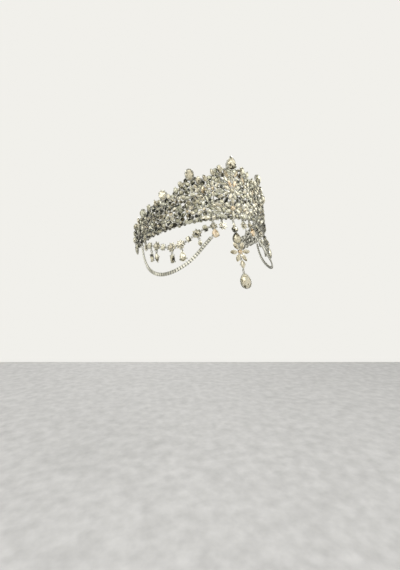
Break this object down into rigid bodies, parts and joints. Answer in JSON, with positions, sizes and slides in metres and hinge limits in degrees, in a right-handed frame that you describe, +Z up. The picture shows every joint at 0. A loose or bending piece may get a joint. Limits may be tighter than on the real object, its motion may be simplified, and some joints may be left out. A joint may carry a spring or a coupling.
{
  "type": "bridal crown with forehead drop and side drapes",
  "caption": "Open-backed bridal crown: a tall wall of cut clear stones on a silver wire frame, with a jointed forehead drop, draped strands and cup chains.",
  "frame": {"origin": "centre of the head opening, in the plane of the rim's lower edge", "axes": "+Z up the crown's axis, towards its peaks; front towards -Y; +X to the right of a viewer who faces the front; the two sides mirror across X = 0"},
  "size_m": [0.1674, 0.1304, 0.1391],
  "materials": {
    "silver_metal": "bright silver plating",
    "small_stone": "clear cut glass with a silvered back",
    "main_stone": "clear cut glass with a silvered back",
    "warm_stone": "clear cut glass with warm reflections",
    "set_stones": "clear stones fused to bright silver settings",
    "cup_chain": "bright silver cups with clear stones"
  },
  "bodies": {
    "crown": {"crown_frame": "silver_metal", "stones_left": "small_stone", "stones_right": "small_stone", "front_petals": "small_stone", "front_star_heart": "warm_stone", "front_flower_heart": "warm_stone", "crest_peak": "main_stone", "strand_left": "set_stones", "strand_right": "set_stones", "cup_chain_left": "cup_chain", "cup_chain_right": "cup_chain", "star_drop_left": "set_stones", "star_drop_right": "set_stones", "crest_left_1": "main_stone", "crest_left_2": "main_stone", "crest_left_3": "main_stone", "crest_left_4": "main_stone", "crest_left_5": "main_stone", "crest_left_6": "main_stone", "crest_left_7": "main_stone", "crest_left_8": "main_stone", "crest_left_9": "main_stone", "crest_left_10": "main_stone", "crest_left_11": "main_stone", "crest_left_12": "main_stone", "crest_left_13": "main_stone", "crest_left_14": "main_stone", "crest_left_15": "main_stone", "crest_left_16": "main_stone", "crest_right_1": "main_stone", "crest_right_2": "main_stone", "crest_right_3": "main_stone", "crest_right_4": "main_stone", "crest_right_5": "main_stone", "crest_right_6": "main_stone", "crest_right_7": "main_stone", "crest_right_8": "main_stone", "crest_right_9": "main_stone", "crest_right_10": "main_stone", "crest_right_11": "main_stone", "crest_right_12": "main_stone", "crest_right_13": "main_stone", "crest_right_14": "main_stone", "crest_right_15": "main_stone", "crest_right_16": "main_stone"},
    "drop_top": {"drop_top_ring": "silver_metal", "drop_top_setting": "silver_metal", "drop_round_stone": "main_stone", "drop_pear_stone": "main_stone"},
    "drop_flower": {"drop_flower_ring": "silver_metal", "drop_flower_setting": "silver_metal", "drop_flower_petals": "small_stone", "drop_flower_heart": "warm_stone"},
    "drop_link": {"drop_link_ring": "silver_metal", "drop_link_setting": "silver_metal", "drop_link_stone": "main_stone"},
    "drop_tear": {"drop_tear_ring": "silver_metal", "drop_tear_setting": "silver_metal", "drop_tear_stone": "main_stone"}
  },
  "joints": [
    {"name": "drop_top_hinge", "type": "hinge", "parent": "crown", "child": "drop_top", "pos_m": [0, -0.08, -0.00235], "axis": [-1, 0, 0], "range_deg": [-45, 90]},
    {"name": "drop_flower_hinge", "type": "hinge", "parent": "drop_top", "child": "drop_flower", "pos_m": [0, -0.08, -0.0305], "axis": [-1, 0, 0], "range_deg": [-45, 45]},
    {"name": "drop_link_hinge", "type": "hinge", "parent": "drop_flower", "child": "drop_link", "pos_m": [0, -0.08, -0.0439], "axis": [-1, 0, 0], "range_deg": [-45, 45]},
    {"name": "drop_tear_hinge", "type": "hinge", "parent": "drop_link", "child": "drop_tear", "pos_m": [0, -0.08, -0.0578], "axis": [-1, 0, 0], "range_deg": [-45, 45]}
  ]
}
